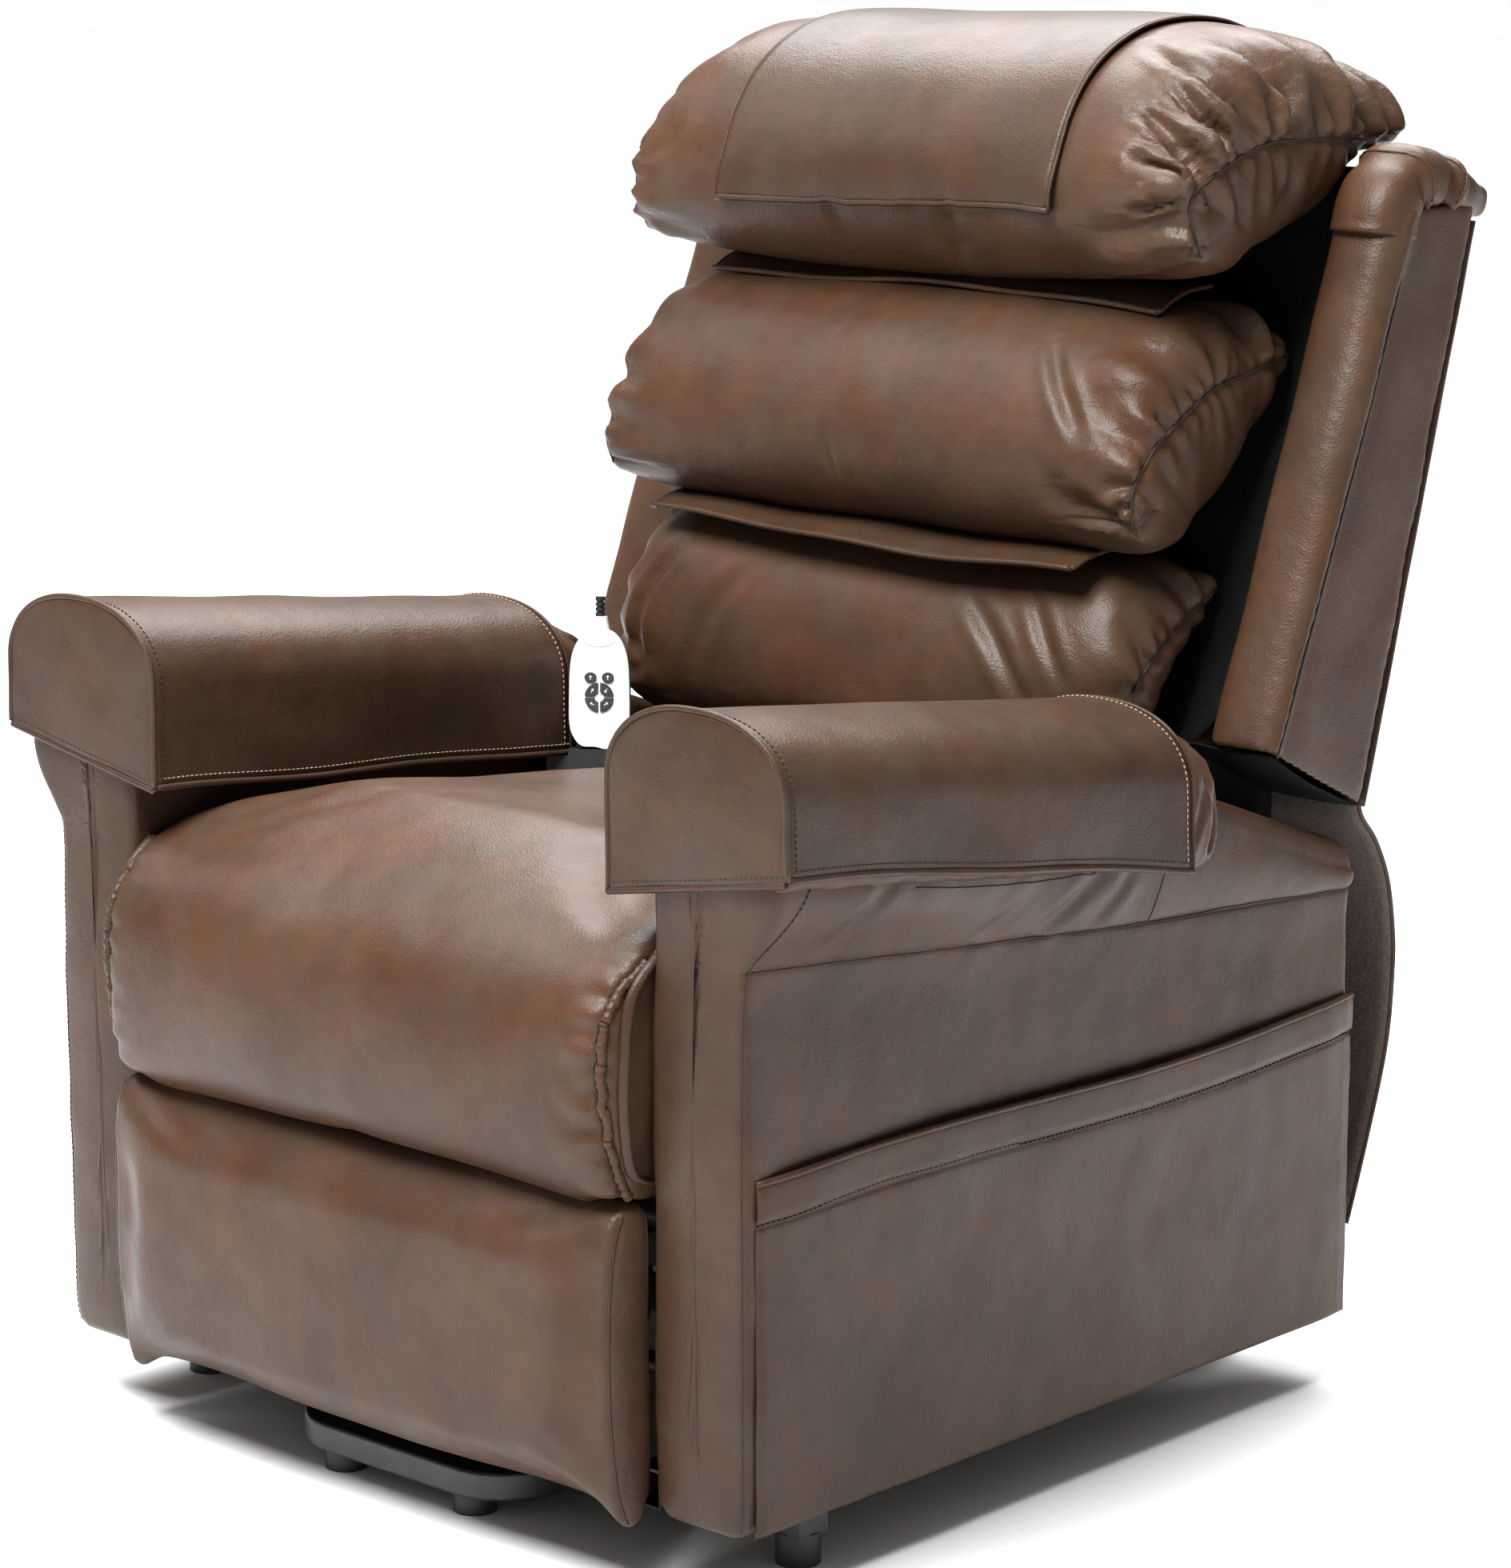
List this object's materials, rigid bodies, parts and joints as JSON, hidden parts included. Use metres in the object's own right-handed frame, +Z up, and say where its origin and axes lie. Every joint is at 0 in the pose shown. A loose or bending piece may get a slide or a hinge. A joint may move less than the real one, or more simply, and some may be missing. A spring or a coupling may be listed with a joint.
{
  "type": "lift recliner chair",
  "caption": "Leather lift recliner chair with waterfall back pillows, padded arms with covers, side pockets, raising footrest, tilting lift base and handset.",
  "frame": {"origin": "on the floor, under the middle of the chair's bounding box", "axes": "+Z up, the sitter faces -Y, +X is the sitter's left"},
  "size_m": [0.805, 0.91, 1.0651],
  "materials": {
    "black_steel": "satin black powder coat",
    "zinc_steel": "bright zinc",
    "black_plastic": "moulded, matt",
    "dark_rubber": "matt silicone",
    "white_plastic": "satin moulded",
    "timber": "sawn plywood and softwood",
    "leather_cushion": "brown leather over foam or fibre filling, satin",
    "leather_panel": "brown leather, satin",
    "black_lining": "black non-woven",
    "curtain_cloth": "brown leather outside, grey-brown non-woven inside"
  },
  "bodies": {
    "base": {"base_front_bar": "black_steel", "base_frame": "black_steel", "base_feet": "black_plastic", "base_pivot_pins": "zinc_steel", "power_supply": "black_plastic", "mains_inlet": "black_plastic"},
    "lift_arms": {"lift_arms": "black_steel"},
    "stabiliser_links": {"stabiliser_links": "black_steel"},
    "lift_motor": {"lift_motor": "black_plastic"},
    "lift_motor_rod": {"lift_motor_rod": "zinc_steel"},
    "carriage": {"carriage_rails": "black_steel", "carriage_cross_tubes": "black_steel", "carriage_brackets": "black_steel", "carriage_pins": "zinc_steel", "seat_frame": "timber", "seat_springs": "zinc_steel", "seat_deck": "black_lining", "seat_cushion": "leather_cushion", "seat_gussets": "leather_panel", "arm_cover_left": "leather_panel", "arm_cover_right": "leather_panel", "arm_frames": "timber", "arm_pad_left": "leather_cushion", "arm_pad_right": "leather_cushion", "arm_cap_left": "leather_panel", "arm_cap_right": "leather_panel", "side_pocket_left": "leather_panel", "side_pocket_right": "leather_panel", "arm_glides": "black_plastic", "handset_holder": "black_plastic", "rear_curtain": "curtain_cloth"},
    "recline_motor": {"recline_motor": "black_plastic"},
    "recline_motor_rod": {"recline_motor_rod": "zinc_steel"},
    "backrest": {"back_side_plates": "black_steel", "back_frame": "timber", "back_webbing": "black_lining", "back_lining": "black_lining", "back_cover": "leather_panel", "wing_left": "leather_cushion", "wing_right": "leather_cushion", "wing_boards": "timber", "lumbar_cushion": "leather_cushion", "middle_cushion": "leather_cushion", "head_cushion": "leather_cushion", "cushion_flaps": "leather_panel", "head_cover": "leather_panel"},
    "foot_links_upper": {"foot_links_upper": "black_steel"},
    "foot_links_lower": {"foot_links_lower": "black_steel"},
    "footrest": {"footrest_brackets": "black_steel", "footrest_board": "timber", "footrest_pad": "leather_cushion"},
    "handset": {"handset_front_shell": "white_plastic", "handset_rear_shell": "black_plastic", "handset_strain_relief": "black_plastic"},
    "handset_button_1": {"handset_button_1": "dark_rubber"},
    "handset_button_2": {"handset_button_2": "dark_rubber"},
    "handset_button_3": {"handset_button_3": "dark_rubber"},
    "handset_button_4": {"handset_button_4": "dark_rubber"},
    "handset_button_5": {"handset_button_5": "dark_rubber"},
    "handset_button_6": {"handset_button_6": "dark_rubber"}
  },
  "joints": [
    {"name": "lift", "type": "hinge", "parent": "base", "child": "lift_arms", "pos_m": [0, 0.225, 0.205], "axis": [-1, 0, 0], "range_deg": [0, 43]},
    {"name": "carriage_tilt", "type": "hinge", "parent": "lift_arms", "child": "carriage", "pos_m": [0, -0.184, 0.11], "axis": [1, 0, 0], "range_deg": [0, 68.2]},
    {"name": "stabiliser", "type": "hinge", "parent": "base", "child": "stabiliser_links", "pos_m": [0, 0.075, 0.2], "axis": [-1, 0, 0], "range_deg": [0, 48.9]},
    {"name": "lift_motor_swing", "type": "hinge", "parent": "base", "child": "lift_motor", "pos_m": [0, 0.232, 0.06], "axis": [-1, 0, 0], "range_deg": [0, 33.2]},
    {"name": "lift_motor_stroke", "type": "slide", "parent": "lift_motor", "child": "lift_motor_rod", "axis": [0, -0.9735, 0.2288], "range_m": [0, 0.0905]},
    {"name": "recline", "type": "hinge", "parent": "carriage", "child": "backrest", "pos_m": [0, 0.19, 0.345], "axis": [-1, 0, 0], "range_deg": [0, 38], "deforming": ["rear_curtain"]},
    {"name": "recline_motor_swing", "type": "hinge", "parent": "carriage", "child": "recline_motor", "pos_m": [0, -0.19, 0.232], "axis": [1, 0, 0], "range_deg": [0, 7.7]},
    {"name": "recline_motor_stroke", "type": "slide", "parent": "recline_motor", "child": "recline_motor_rod", "axis": [0, 1, 0.0056], "range_m": [-0.0608, 0]},
    {"name": "footrest_raise", "type": "hinge", "parent": "carriage", "child": "foot_links_upper", "pos_m": [0, -0.235, 0.262], "axis": [-1, 0, 0], "range_deg": [0, 69]},
    {"name": "foot_knee", "type": "hinge", "parent": "foot_links_upper", "child": "foot_links_lower", "pos_m": [0, -0.29, 0.108], "axis": [1, 0, 0], "range_deg": [0, 99.3]},
    {"name": "footrest_turn", "type": "hinge", "parent": "foot_links_lower", "child": "footrest", "pos_m": [0, -0.392, 0.212], "axis": [-1, 0, 0], "range_deg": [0, 120.4]},
    {"name": "handset_lift_out", "type": "slide", "parent": "carriage", "child": "handset", "axis": [-0.0783, 0.0934, 0.9925], "range_m": [0, 0.12]},
    {"name": "button_1_press", "type": "slide", "parent": "handset", "child": "handset_button_1", "axis": [-0.638, 0.7603, -0.1219], "range_m": [0, 0.0015], "stiffness_N_per_m": 400, "springref_m": -0.0005},
    {"name": "button_2_press", "type": "slide", "parent": "handset", "child": "handset_button_2", "axis": [-0.638, 0.7603, -0.1219], "range_m": [0, 0.0015], "stiffness_N_per_m": 400, "springref_m": -0.0005},
    {"name": "button_3_press", "type": "slide", "parent": "handset", "child": "handset_button_3", "axis": [-0.638, 0.7603, -0.1219], "range_m": [0, 0.0015], "stiffness_N_per_m": 400, "springref_m": -0.0005},
    {"name": "button_4_press", "type": "slide", "parent": "handset", "child": "handset_button_4", "axis": [-0.638, 0.7603, -0.1219], "range_m": [0, 0.0015], "stiffness_N_per_m": 400, "springref_m": -0.0005},
    {"name": "button_5_press", "type": "slide", "parent": "handset", "child": "handset_button_5", "axis": [-0.638, 0.7603, -0.1219], "range_m": [0, 0.0015], "stiffness_N_per_m": 400, "springref_m": -0.0005},
    {"name": "button_6_press", "type": "slide", "parent": "handset", "child": "handset_button_6", "axis": [-0.638, 0.7603, -0.1219], "range_m": [0, 0.0015], "stiffness_N_per_m": 400, "springref_m": -0.0005}
  ],
  "couplings": [
    {"joint": "carriage_tilt", "follows": "lift", "ratio": 1.5814},
    {"joint": "stabiliser", "follows": "lift", "ratio": 1.1322},
    {"joint": "lift_motor_swing", "follows": "lift", "ratio": 0.76832},
    {"joint": "lift_motor_stroke", "follows": "lift", "m_per_rad": 0.12002},
    {"joint": "recline_motor_swing", "follows": "recline", "ratio": 0.19783},
    {"joint": "recline_motor_stroke", "follows": "recline", "m_per_rad": -0.091213},
    {"joint": "foot_knee", "follows": "footrest_raise", "ratio": 1.4348},
    {"joint": "footrest_turn", "follows": "footrest_raise", "ratio": 1.7391}
  ]
}
